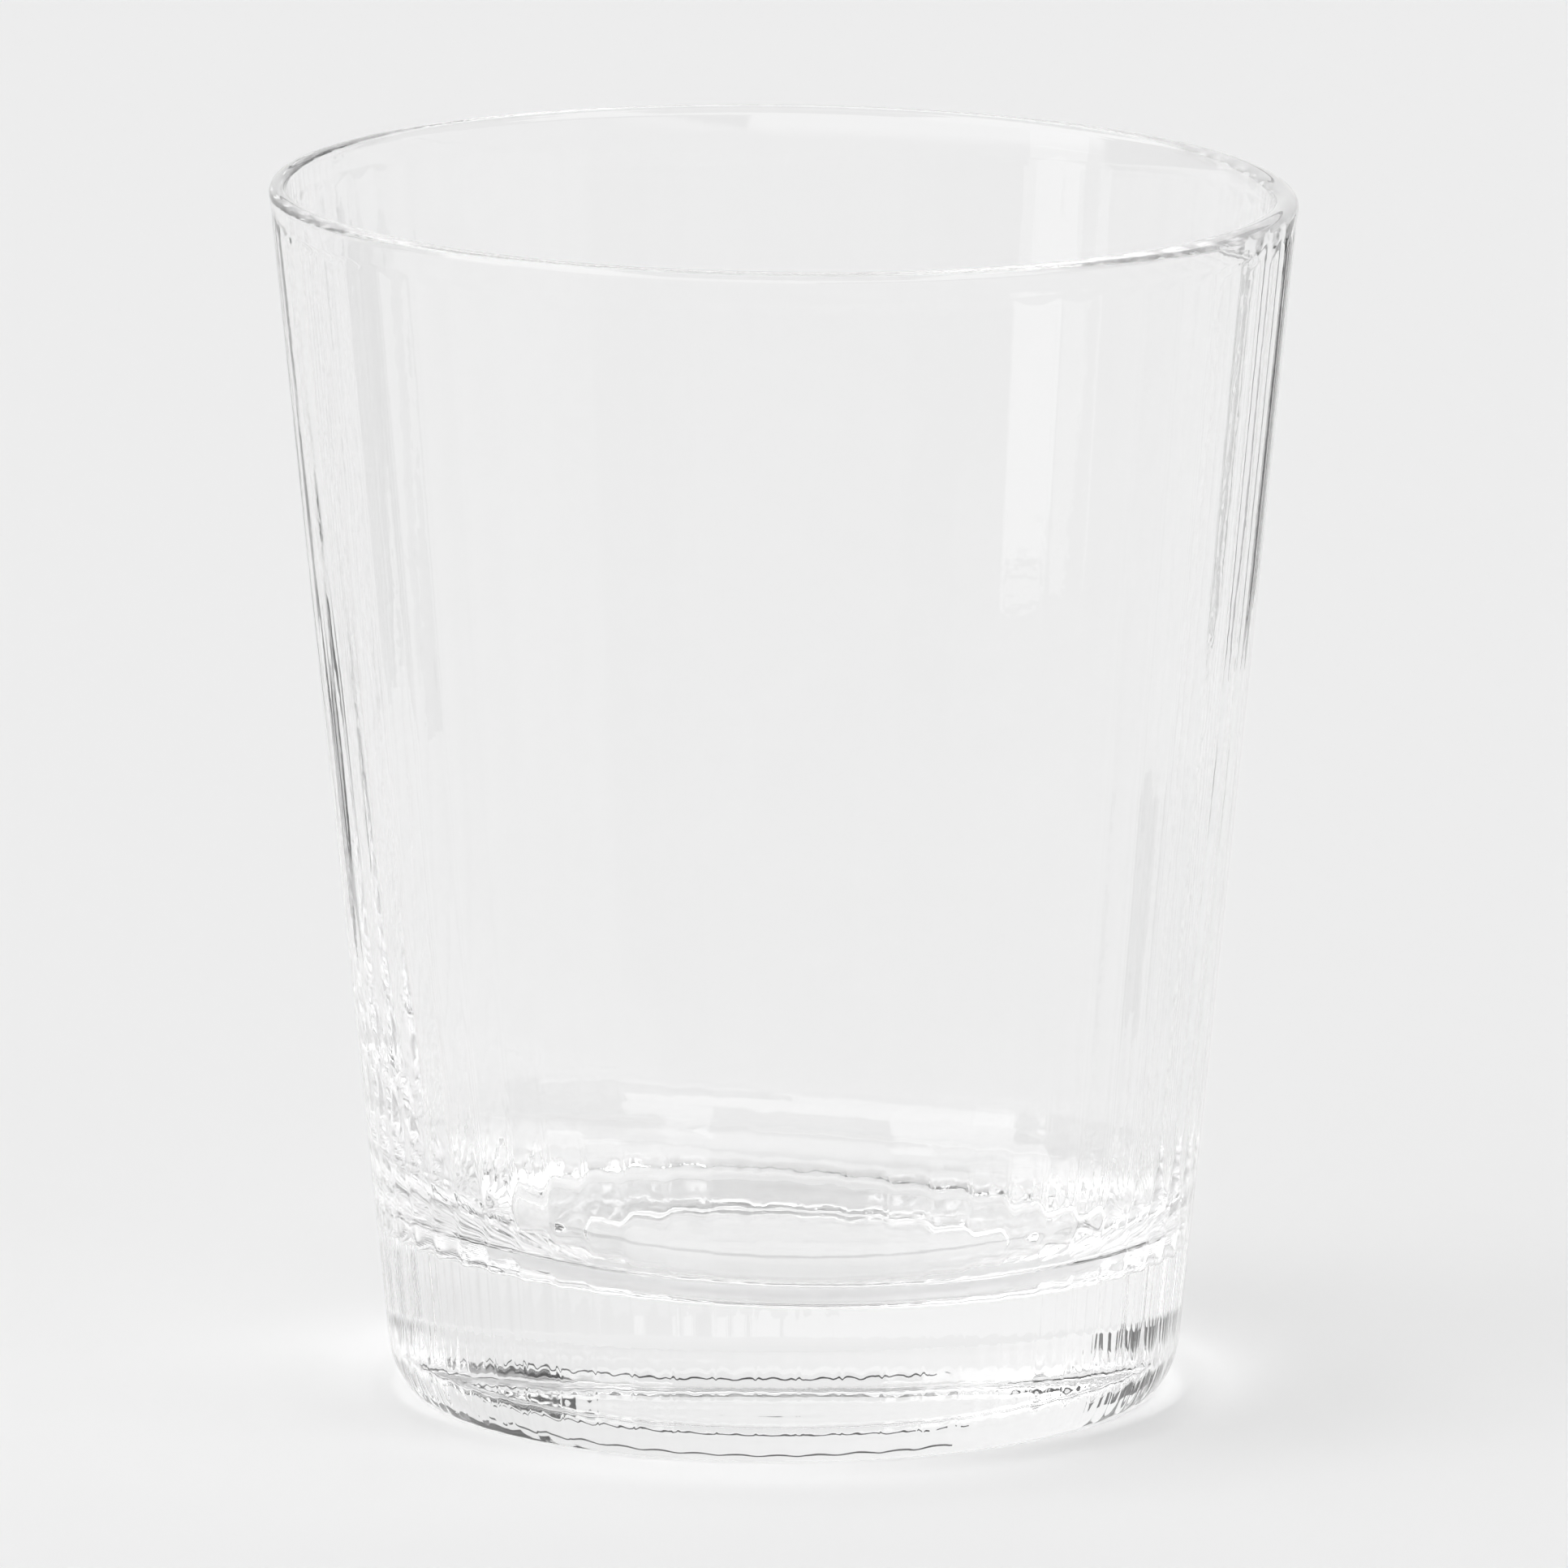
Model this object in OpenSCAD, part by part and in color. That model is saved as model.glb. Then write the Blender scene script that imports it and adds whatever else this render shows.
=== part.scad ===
// Juice glass: a tapered tumbler pressed from clear glass, with a thick base,
// fine upright ribs round the wall and a smooth, fire-polished rim.
// Millimetres, +Z up, origin on the table under the middle of the base.

/* [Glass] */
// Height from the table to the top of the rim
glass_h = 95; // [88:0.5:104]
// Outside diameter at the rim
rim_d = 80; // [76:0.5:86]
// Outside diameter of the straight wall, carried down to the table
foot_d = 61.2; // [58:0.2:64]

/* [Wall] */
// Thickness of the glass at the rim
rim_t = 1.7; // [1.4:0.1:2.4]
// Thickness of the wall where it rises out of the inside corner
wall_t = 2; // [1.8:0.1:3]
// Height of the smooth rim above the ribs
rim_h = 3; // [2:0.5:6]

/* [Ribs] */
// Number of ribs round the wall
rib_count = 60; // [44:2:72]
// Depth of the groove between two ribs, at the table
rib_depth = 0.1; // [0.05:0.01:0.2]
// Width of that groove, at the table
groove_w = 0.8; // [0.4:0.1:1.2]
// Height over which the ribs fade into the rim and into the heel
rib_fade = 2; // [1:0.5:4]

/* [Base] */
// Thickness of the glass under the floor
floor_t = 11.6; // [9:0.1:15]
// Radius of the inside corner between floor and wall
corner_r = 7.5; // [5:0.5:12]
// Height at which the heel leaves the straight wall
heel_h = 4; // [3:0.1:4.8]
// Radius of the heel
heel_r = 6.5; // [5.5:0.5:9]
// Radius of the edge between the heel and the ring that the glass rests on
edge_r = 0.5; // [0.3:0.1:1]
// Diameter of the shallow recess under the base
recess_d = 39.2; // [32:0.4:46]
// Depth of that recess
recess_h = 0.5; // [0.3:0.1:1.2]
// Width of the slope round it
recess_slope = 1.8; // [1:0.1:3]

/* [Hidden] */
$fn = 120;
clear_glass = [0.87, 0.90, 0.90, 0.45];
// How far the smooth ends stand inside the grooves, and the middle outside the crowns
rib_clear = 0.02;
// How far a cutting shape reaches past what it cuts
overshoot = 1;
rib_steps = 8;

// The outside leans out in a straight line from the table to the middle of the rounded rim
rim_r = rim_t / 2;
rim_z = glass_h - rim_r;
taper = (rim_d - foot_d) / 2 / rim_z;
lean = atan(taper);
function outer_r(z) = foot_d / 2 + taper * z;
function groove_r(z) = outer_r(z) * (1 - 2 * rib_depth / foot_d) - rib_clear;

// The inside leans a little less, because the wall thickens towards the base
base_top = floor_t + corner_r;
ribs_top = glass_h - rim_h;
corner_wall_r = outer_r(base_top) - wall_t;
inner_taper = (rim_d / 2 - rim_t - corner_wall_r) / (rim_z - base_top);
inner_lean = atan(inner_taper);
function inner_r(z) = corner_wall_r + inner_taper * (z - base_top);

// The heel is tangent to the wall, and its edge is tangent to the heel and to the table
heel_centre = [groove_r(heel_h) - heel_r * cos(lean), heel_h + heel_r * sin(lean)];
heel_turn = asin((heel_centre.y - edge_r) / (heel_r - edge_r));
edge_centre = [heel_centre.x + (heel_r - edge_r) * cos(heel_turn), edge_r];

function arc(centre, r, from, to, steps) =
    [for (i = [0:steps]) let (a = from + (to - from) * i / steps) centre + r * [cos(a), sin(a)]];

// Half outline of the space inside the glass, open past the rim
function inside() = concat(
    [[0, floor_t]],
    arc([corner_wall_r - corner_r / cos(inner_lean), base_top], corner_r, -90, -inner_lean, 12),
    [[inner_r(glass_h + overshoot), glass_h + overshoot], [0, glass_h + overshoot]]
);

// Half outline of the base: recess, resting ring, edge, heel, and the ribs fading in
function base_outline() = concat(
    [[0, recess_h], [recess_d / 2 - recess_slope, recess_h], [recess_d / 2, 0]],
    arc(edge_centre, edge_r, -90, -heel_turn, 6),
    arc(heel_centre, heel_r, -heel_turn, -lean, 6),
    [[outer_r(heel_h + rib_fade) + rib_clear, heel_h + rib_fade]],
    [[outer_r(base_top) + rib_clear, base_top], [0, base_top]]
);

// Half outline of the wall, with the ribs fading out under the rim
function wall_outline() = [
    [0, base_top],
    [outer_r(base_top) + rib_clear, base_top],
    [outer_r(ribs_top - rib_fade) + rib_clear, ribs_top - rib_fade],
    [groove_r(ribs_top), ribs_top],
    [0, ribs_top]
];

// Section of the smooth rim, rounded over the top
function rim_section() = concat(
    [[inner_r(ribs_top), ribs_top], [groove_r(ribs_top), ribs_top]],
    arc([rim_d / 2 - rim_r, rim_z], rim_r, -lean, 180 - inner_lean, 14)
);

// How far the outside falls below a rib's crown, at a share u of the pitch from its middle:
// a round crown that runs smoothly into a round groove
crown_half = 0.5 - groove_w / (2 * PI * foot_d / rib_count);
function rib_drop(u) = abs(u) <= crown_half
    ? 2 * rib_depth * u * u / crown_half
    : rib_depth - 2 * rib_depth * pow(0.5 - abs(u), 2) / (0.5 - crown_half);

// Ribbed cone that reaches past both ends of the wall
module ribbed_cone() {
    low = -overshoot;
    high = ribs_top + overshoot;
    outline = [
        for (rib = [0:rib_count - 1], step = [0:rib_steps - 1])
            let (u = step / rib_steps - 0.5, a = 360 * (rib + u) / rib_count - 90)
            (foot_d / 2 - rib_drop(u)) * [cos(a), sin(a)]
    ];
    translate([0, 0, low])
        linear_extrude(height = high - low, scale = outer_r(high) / outer_r(low))
            scale(2 * outer_r(low) / foot_d)
                polygon(outline);
}

// Part of the ribbed glass between the inside and a half outline
module ribbed_glass(outline) {
    intersection() {
        ribbed_cone();
        rotate_extrude()
            difference() {
                polygon(outline);
                polygon(inside());
            }
    }
}

module base() {
    color(clear_glass) ribbed_glass(base_outline());
}

module ribbed_wall() {
    color(clear_glass) ribbed_glass(wall_outline());
}

module rim() {
    color(clear_glass) rotate_extrude() polygon(rim_section());
}

base();
ribbed_wall();
rim();
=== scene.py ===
"""A clear, ribbed juice glass standing on a pale table in soft studio light."""

import math

import bpy
import numpy as np
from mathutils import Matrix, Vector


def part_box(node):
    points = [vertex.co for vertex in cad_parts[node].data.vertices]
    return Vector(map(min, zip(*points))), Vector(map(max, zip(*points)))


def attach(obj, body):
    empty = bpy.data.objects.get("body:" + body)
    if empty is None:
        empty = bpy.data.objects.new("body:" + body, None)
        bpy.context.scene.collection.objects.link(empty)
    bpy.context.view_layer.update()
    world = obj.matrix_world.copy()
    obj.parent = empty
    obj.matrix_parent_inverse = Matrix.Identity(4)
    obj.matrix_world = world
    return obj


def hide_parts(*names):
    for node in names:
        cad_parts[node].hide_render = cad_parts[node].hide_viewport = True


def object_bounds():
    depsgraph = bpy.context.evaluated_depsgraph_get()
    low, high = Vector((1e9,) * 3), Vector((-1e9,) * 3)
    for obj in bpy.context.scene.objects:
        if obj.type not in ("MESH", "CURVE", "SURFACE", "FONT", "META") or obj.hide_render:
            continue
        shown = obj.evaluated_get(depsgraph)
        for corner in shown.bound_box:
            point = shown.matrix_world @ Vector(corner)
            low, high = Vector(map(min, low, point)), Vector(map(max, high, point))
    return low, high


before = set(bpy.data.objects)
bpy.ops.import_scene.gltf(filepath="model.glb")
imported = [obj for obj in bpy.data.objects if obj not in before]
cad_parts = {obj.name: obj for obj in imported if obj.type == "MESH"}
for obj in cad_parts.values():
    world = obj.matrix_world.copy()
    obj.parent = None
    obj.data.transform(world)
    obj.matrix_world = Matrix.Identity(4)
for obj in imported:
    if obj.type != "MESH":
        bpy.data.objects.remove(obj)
cad_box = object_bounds()

# The glass: one tumbler of clear soda-lime glass, pressed in a ribbed iron mould and fire-polished
# at the rim. Its outside is true to the mould. Its inside is less even: the glass has run a little
# thick low on the left, and the floor and the rim are not quite level.
MM = 0.001
QUARTER = math.pi / 2

# Main sizes
GLASS_H = cad_box[1].z
RIM_R = cad_box[1].x
FOOT_R = 30.6 * MM
RIM_T = 1.7 * MM
WALL_T = 2.0 * MM
FLOOR_T = 11.6 * MM
CORNER_R = 6 * MM
CORNER_SIDE_R = 9.5 * MM

# Heel, resting ring and the shallow hollow under the base
HEEL_H = 4 * MM
HEEL_R = 6.5 * MM
EDGE_R = 0.25 * MM
RING_R = 24 * MM
RING_GAP = 0.05 * MM
HOLLOW_R = 19.6 * MM
HOLLOW_SLOPE = 1.8 * MM
HOLLOW_H = 0.5 * MM

# Ribs, deeper near the base, and the smooth band above them, which is set in a little
RIBS = 60
STEPS_PER_RIB = 12
RIB_TURN = 2.1
GROOVE_SHARE = 0.24
RIB_DEPTH = 0.045 * MM
RIB_LOW_DEPTH = 0.09 * MM
RIB_LOW_Z, RIB_HIGH_Z = 14 * MM, 26 * MM
RIB_FOOT_Z, RIB_FULL_Z = 0.2 * MM, 2 * MM
RIB_END_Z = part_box("rim")[0].z + 0.7 * MM
RIB_FADE_Z = RIB_END_Z - 1.0 * MM
BAND_DEPTH = 0.054 * MM

# Unevenness of the inside and of the rim
FLOOR_TILT_RIGHT = math.tan(math.radians(1.6))
FLOOR_TILT_BACK = math.tan(math.radians(0.8))
TILT_LOW_Z, TILT_HIGH_Z = FLOOR_T + 8 * MM, FLOOR_T + 33 * MM
RIM_TILT = math.tan(math.radians(0.7))
OFF_CENTRE = 0.35 * MM
OFF_CENTRE_Z = 40 * MM
THICK_LEFT = 2.2 * MM
THICK_Z = 12 * MM
THICK_SPREAD = 18 * MM

# The wall leans out on both sides, the inside a little less
RIM_Z = GLASS_H - RIM_T / 2
TAPER = (RIM_R - FOOT_R) / RIM_Z
LEAN = math.atan(TAPER)
CORNER_Z = FLOOR_T + CORNER_R
INNER_R = FOOT_R + TAPER * CORNER_Z - WALL_T
INNER_TAPER = (RIM_R - RIM_T - INNER_R) / (RIM_Z - CORNER_Z)
INNER_LEAN = math.atan(INNER_TAPER)


def arc(centre, radius, start, stop, steps):
    """Points (radius, height) along an arc, from one angle to another, in radians."""
    a = np.linspace(start, stop, steps + 1)
    return np.column_stack((centre[0] + radius * np.cos(a), centre[1] + radius * np.sin(a)))


def ease(low, high, x):
    """0 below low, 1 above high, and a smooth rise between them."""
    t = np.clip((x - low) / (high - low), 0, 1)
    return t * t * (3 - 2 * t)


def outer_r(z):
    """Radius of the straight outside at a height."""
    return FOOT_R + TAPER * z


def straight_wall(low, high, steps):
    """Points (radius, height) up the outside, without the first."""
    z = np.linspace(low, high, steps + 1)[1:]
    return np.column_stack((outer_r(z), z))


def rib_fall(angle):
    """How far the outside falls below a rib's crown, from 0 on the crown to 1 in the groove."""
    u = np.abs((np.degrees(angle) - RIB_TURN) * RIBS / 360 % 1 - 0.5)
    crown = 0.5 - GROOVE_SHARE / 2
    return np.where(u <= crown, 2 * u * u / crown, 1 - 2 * (0.5 - u) ** 2 / (0.5 - crown))


# The outside, as a half outline from the middle of the underside over the heel, up the wall and over the rim
heel_c = (outer_r(HEEL_H) - HEEL_R * math.cos(LEAN), HEEL_H + HEEL_R * math.sin(LEAN))
heel_turn = math.asin((heel_c[1] - EDGE_R) / (HEEL_R - EDGE_R))
edge_c = (heel_c[0] + (HEEL_R - EDGE_R) * math.cos(heel_turn), EDGE_R)
rim_c = (RIM_R - RIM_T / 2, RIM_Z)

share = np.linspace(0, 1, 11)
slope_r = HOLLOW_R - HOLLOW_SLOPE * (1 - share)
slope_z = RING_GAP + HOLLOW_H * (1 - ease(0, 1, share))
slope = np.column_stack((slope_r, slope_z))
underside = np.concatenate((
    np.linspace((0, RING_GAP + HOLLOW_H), slope[0], 5),
    slope[1:],
    [(RING_R, RING_GAP)],
    arc(edge_c, EDGE_R, -QUARTER, -heel_turn, steps=10),
))
heel_and_wall = np.concatenate((
    arc(heel_c, HEEL_R, -heel_turn, -LEAN, steps=12)[1:],
    straight_wall(HEEL_H, RIB_FADE_Z, steps=22),
    straight_wall(RIB_FADE_Z, RIB_END_Z, steps=8),
))
rim = arc(rim_c, RIM_T / 2, -LEAN, math.pi - INNER_LEAN, steps=12)
outside = np.concatenate((underside, heel_and_wall, rim))

# The inside, from the rim down the wall, round the corner and over the floor. The corner's radius
# changes round the glass, so each of these points is worked out at every angle.
turn = np.linspace(0, 2 * math.pi, RIBS * STEPS_PER_RIB, endpoint=False)
to_right, to_front = np.sin(turn), np.cos(turn)
corner_r = CORNER_R + (CORNER_SIDE_R - CORNER_R) * to_right ** 2
corner_z = FLOOR_T + corner_r
side_z = np.linspace(rim[-1, 1], corner_z, 27)[1:]
side_r = INNER_R + INNER_TAPER * (side_z - CORNER_Z)
corner_c = side_r[-1] - corner_r / math.cos(INNER_LEAN)
bend = np.linspace(-INNER_LEAN, -QUARTER, 19)[1:, None]
bend_r = corner_c + corner_r * np.cos(bend)
bend_z = corner_z + corner_r * np.sin(bend)
floor_r = bend_r[-1] * np.linspace(1, 0, 6)[1:-1, None]
floor_z = np.full_like(floor_r, FLOOR_T)

# Every point but the two on the axis becomes a ring of points round the glass
sides = len(turn)
r = np.concatenate((np.repeat(outside[1:, 0:1], sides, axis=1), side_r, bend_r, floor_r))
z = np.concatenate((np.repeat(outside[1:, 1:2], sides, axis=1), side_z, bend_z, floor_z))
rings = len(r)
wall_start = len(underside) - 1
rim_start = wall_start + len(heel_and_wall)
inside_start = rim_start + len(rim)
wall = slice(wall_start, rim_start)
lip = slice(rim_start, inside_start)
inside = slice(inside_start, None)

# Ribs on the wall, running out over the heel and under the rim
depth = RIB_LOW_DEPTH + (RIB_DEPTH - RIB_LOW_DEPTH) * ease(RIB_LOW_Z, RIB_HIGH_Z, z[wall])
ribs = depth * ease(RIB_FOOT_Z, RIB_FULL_Z, z[wall]) * rib_fall(turn)
band = BAND_DEPTH * ease(RIB_FADE_Z, RIB_END_Z, z[wall])
r[wall] -= np.maximum(ribs, band)

# The uneven inside: tilted floor, thick left side and a cavity that is off centre at the top
tilt = FLOOR_TILT_RIGHT * r[inside] * to_right - FLOOR_TILT_BACK * r[inside] * to_front
tilted = 1 - ease(TILT_LOW_Z, TILT_HIGH_Z, z[inside])
on_left = ((1 - to_right) / 2) ** 2
thick = THICK_LEFT * np.exp(-((z[inside] - THICK_Z) / THICK_SPREAD) ** 2) * on_left
off_axis = np.clip(r[inside] / INNER_R, 0, 1) ** 2
shift = OFF_CENTRE * ease(OFF_CENTRE_Z, GLASS_H, z[inside]) * to_right
z[inside] -= tilted * tilt
r[inside] -= thick * off_axis + shift
r[lip] -= OFF_CENTRE * to_right * np.linspace(0, 1, len(rim))[:, None]
z -= RIM_TILT * r * to_right * ease(0, GLASS_H, z)

poles = ((0, 0, outside[0, 1]), (0, 0, FLOOR_T))
points = np.concatenate((np.stack((r * to_right, -r * to_front, z), axis=-1).reshape(-1, 3), poles))
under_pole, floor_pole = len(points) - 2, len(points) - 1
here = np.arange(sides)
after = np.roll(here, -1)
faces = []
for ring in range(rings - 1):
    low, high = ring * sides, (ring + 1) * sides
    faces += np.column_stack((low + here, low + after, high + after, high + here)).tolist()
last = (rings - 1) * sides
faces += [(b, a, under_pole) for a, b in zip(here.tolist(), after.tolist())]
faces += [(last + a, last + b, floor_pole) for a, b in zip(here.tolist(), after.tolist())]

mesh = bpy.data.meshes.new("juice_glass")
mesh.from_pydata(points.tolist(), [], faces)
mesh.shade_smooth()
glass = bpy.data.objects.new("juice_glass", mesh)
bpy.context.scene.collection.objects.link(glass)


class Socket:
    """A shader socket that can be used in sums and products and fed to other nodes."""

    def __init__(self, socket):
        self.socket = socket

    def node(self, kind, inputs, output=0, **settings):
        """The output of a new node of this kind, with these settings and inputs."""
        tree = self.socket.id_data
        made = tree.nodes.new(kind)
        for name, value in settings.items():
            setattr(made, name, value)
        for key, value in inputs.items():
            if isinstance(value, Socket):
                tree.links.new(value.socket, made.inputs[key])
            else:
                made.inputs[key].default_value = value
        return Socket(made.outputs[output])

    def math(self, operation, a, b):
        return self.node("ShaderNodeMath", {0: a, 1: b}, operation=operation)

    def __add__(self, other):
        return self.math("ADD", self, other)

    def __sub__(self, other):
        return self.math("SUBTRACT", self, other)

    def __rsub__(self, other):
        return self.math("SUBTRACT", other, self)

    def __mul__(self, other):
        return self.math("MULTIPLY", self, other)

    def __truediv__(self, other):
        return self.math("DIVIDE", self, other)

    __radd__, __rmul__ = __add__, __mul__

    def size(self):
        """The value without its sign."""
        return self.math("ABSOLUTE", self, 0)

    def rise(self, low, high):
        """0 below low, 1 above high, and a smooth rise between them."""
        limits = {"Value": self, "From Min": low, "From Max": high}
        return self.node("ShaderNodeMapRange", limits, interpolation_type="SMOOTHSTEP")

    def along(self, axis):
        """How far the vector reaches along an axis."""
        parts = {0: self, 1: axis}
        return self.node("ShaderNodeVectorMath", parts, output="Value", operation="DOT_PRODUCT")

    def noise(self, scale, detail):
        """Noise at this place, from 0 to 1."""
        return self.node("ShaderNodeTexNoise", {"Vector": self, "Scale": scale, "Detail": detail})


# Clear glass with the faint ripple of pressing, a fine grain on it, and a few smears
GLASS_IOR = 1.52
RIPPLE_H = 0.04 * MM
GRAIN_SHARE = 0.08
SMEAR_ROUGHNESS = 0.012
clear = bpy.data.materials.new("clear_glass")
clear.use_nodes = True
shader = clear.node_tree.nodes["Principled BSDF"]
shader.inputs["Base Color"].default_value = (1, 1, 1, 1)
shader.inputs["Transmission Weight"].default_value = 1
shader.inputs["IOR"].default_value = GLASS_IOR
place = Socket(clear.node_tree.nodes.new("ShaderNodeTexCoord").outputs["Object"])
relief = place.noise(110, 1) + GRAIN_SHARE * place.noise(900, 1)
surface = place.node("ShaderNodeBump", {"Height": relief, "Distance": RIPPLE_H})
smears = SMEAR_ROUGHNESS * place.noise(60, 3).rise(0.55, 0.75)
clear.node_tree.links.new(smears.socket, shader.inputs["Roughness"])
clear.node_tree.links.new(surface.socket, shader.inputs["Normal"])
mesh.materials.append(clear)

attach(glass, "root")
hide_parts("base", "ribbed_wall", "rim")


# The table: a pale, matt sweep of painted board that fills the whole view.
# The glass stands on it on the ring under its base.
TABLE_SIZE = 12
TABLE_COLOUR = (0.9, 0.9, 0.9, 1)


def matt(name, colour, specular):
    """A matt paint of one colour for the studio."""
    material = bpy.data.materials.new(name)
    material.use_nodes = True
    paint = material.node_tree.nodes["Principled BSDF"]
    paint.inputs["Base Color"].default_value = colour
    paint.inputs["Roughness"].default_value = 0.9
    paint.inputs["Specular IOR Level"].default_value = specular
    return material


bpy.ops.mesh.primitive_plane_add(size=TABLE_SIZE)
table = bpy.context.object
table.name = "table"
table.data.materials.append(matt("pale_table", TABLE_COLOUR, 0.2))

# The light: a white tent with a large, brighter softbox on the left and a dimmer sweep behind and low down.
# Dark openings in the tent and two small black cards just out of view draw the dark lines that
# clear glass shows along its edges, in its heel and round its floor.
TENT, KEY, SWEEP, LOW, DIM, DARK = 1.85, 2.4, 0.865, 0.815, 0.5, 0.05
SWEEP_FALL = 0.12

# Azimuth from the camera side towards the right, elevation, half width, half height, soft edge and brightness;
# a later panel lies over an earlier one
PANELS = (
    (-75, 40, 0.75, 0.45, 0.12, KEY),
    (45, 14, 0.75, 0.1, 0.02, DARK),
    (-104, 10, 0.38, 0.17, 0.03, DARK),
    (0, 58, 0.5, 0.4, 0.05, DARK),
    (98, 43, 0.35, 0.2, 0.05, DARK),
    (180, 70, 0.8, 0.2, 0.06, DARK),
    (0, 89.9, 0.33, 0.33, 0.05, DIM),
    (110, 20, 0.17, 0.3, 0.04, DARK),
    (108, 28, 0.85, 0.11, 0.015, DARK),
    (90, 15, 0.35, 0.12, 0.02, DARK),
    (170, 14.6, 0.5, 0.013, 0.006, DARK),
    (-108, 24, 0.33, 0.13, 0.03, DARK),
)


def panel(light, towards, azimuth, elevation, half_w, half_h, edge, brightness):
    """The light with one more panel of the tent laid over it."""
    turn, tilt = math.radians(azimuth), math.radians(elevation)
    centre = (math.cos(tilt) * math.sin(turn), -math.cos(tilt) * math.cos(turn), math.sin(tilt))
    upright = (-math.sin(tilt) * math.sin(turn), math.sin(tilt) * math.cos(turn), math.cos(tilt))
    ahead = towards.along(centre)
    x = towards.along((math.cos(turn), math.sin(turn), 0)) / ahead
    y = towards.along(upright) / ahead
    mask = ahead.math("GREATER_THAN", ahead, 0)
    for offset, half in ((x, half_w), (y, half_h)):
        mask = mask * (1 - offset.size().rise(half - edge, half + edge))
    return light * (1 - mask) + brightness * mask


world = bpy.data.worlds.new("studio")
world.use_nodes = True
sky = world.node_tree
towards = Socket(sky.nodes.new("ShaderNodeTexCoord").outputs["Generated"])
up = towards.along((0, 0, 1))
behind = towards.along((0, 1, 0)).rise(0.45, 0.6)
sweep = behind * (1 - up.rise(0.58, 0.7))
low_front = (1 - behind) * (1 - up.rise(0.09, 0.15))
sweep_light = SWEEP - SWEEP_FALL * towards.along((1, 0, 0))
light = TENT + sweep * (sweep_light - TENT) + low_front * (LOW - TENT)
for values in PANELS:
    light = panel(light, towards, *values)
sky.nodes["Background"].inputs["Color"].default_value = (1, 1, 1, 1)
sky.links.new(light.socket, sky.nodes["Background"].inputs["Strength"])
bpy.context.scene.world = world

STRIP_W, STRIP_H = 0.3, 0.4
STRIP_RADIANCE = 0.73
strip = bpy.data.lights.new("left_strip", "AREA")
strip.shape = "RECTANGLE"
strip.size, strip.size_y = STRIP_W, STRIP_H
strip.energy = STRIP_RADIANCE * math.pi * STRIP_W * STRIP_H
strip_object = bpy.data.objects.new("left_strip", strip)
strip_object.location = (-0.946, -0.326, 0.234)
strip_object.rotation_euler = (QUARTER, 0, math.radians(-71))
bpy.context.scene.collection.objects.link(strip_object)

# Each card stands upright, facing the glass: its place to the right, its front and back ends, foot and top
CARD_COLOUR = (0.08, 0.08, 0.08, 1)
CARDS = {
    "right_card": (0.07, 0.06, 0.107, 0.04, 0.08),
    "left_card": (-0.085, 0.085, 0.12, 0.008, 0.03),
}
black = matt("black_card", CARD_COLOUR, 0.5)
for name, (x, front_end, back_end, foot, top) in CARDS.items():
    corners = [(x, front_end, foot), (x, back_end, foot), (x, back_end, top), (x, front_end, top)]
    card_mesh = bpy.data.meshes.new(name)
    card_mesh.from_pydata(corners, [], [(0, 1, 2, 3)])
    card_mesh.materials.append(black)
    card = bpy.data.objects.new(name, card_mesh)
    bpy.context.scene.collection.objects.link(card)
    card.visible_camera = card.visible_diffuse = card.visible_shadow = False

# Light crosses the thick base many times before it leaves the glass
BOUNCES = 96
scene = bpy.context.scene
scene.view_settings.view_transform = "Standard"
scene.cycles.max_bounces = BOUNCES
scene.cycles.transmission_bounces = BOUNCES
scene.cycles.glossy_bounces = BOUNCES
scene.cycles.blur_glossy = 0

# The camera: it stands a long way off with a long lens and looks down a little,
# as the photograph was taken.
LOOKS_DOWN = math.radians(10.8925)
camera = bpy.data.cameras.new("camera")
camera.sensor_width = 36
camera.lens = 584.3
camera.clip_end = 20
camera_object = bpy.data.objects.new("camera", camera)
camera_object.location = (0, -1.950, 0.423)
camera_object.rotation_euler = (QUARTER - LOOKS_DOWN, 0, 0)
bpy.context.scene.collection.objects.link(camera_object)
bpy.context.scene.camera = camera_object
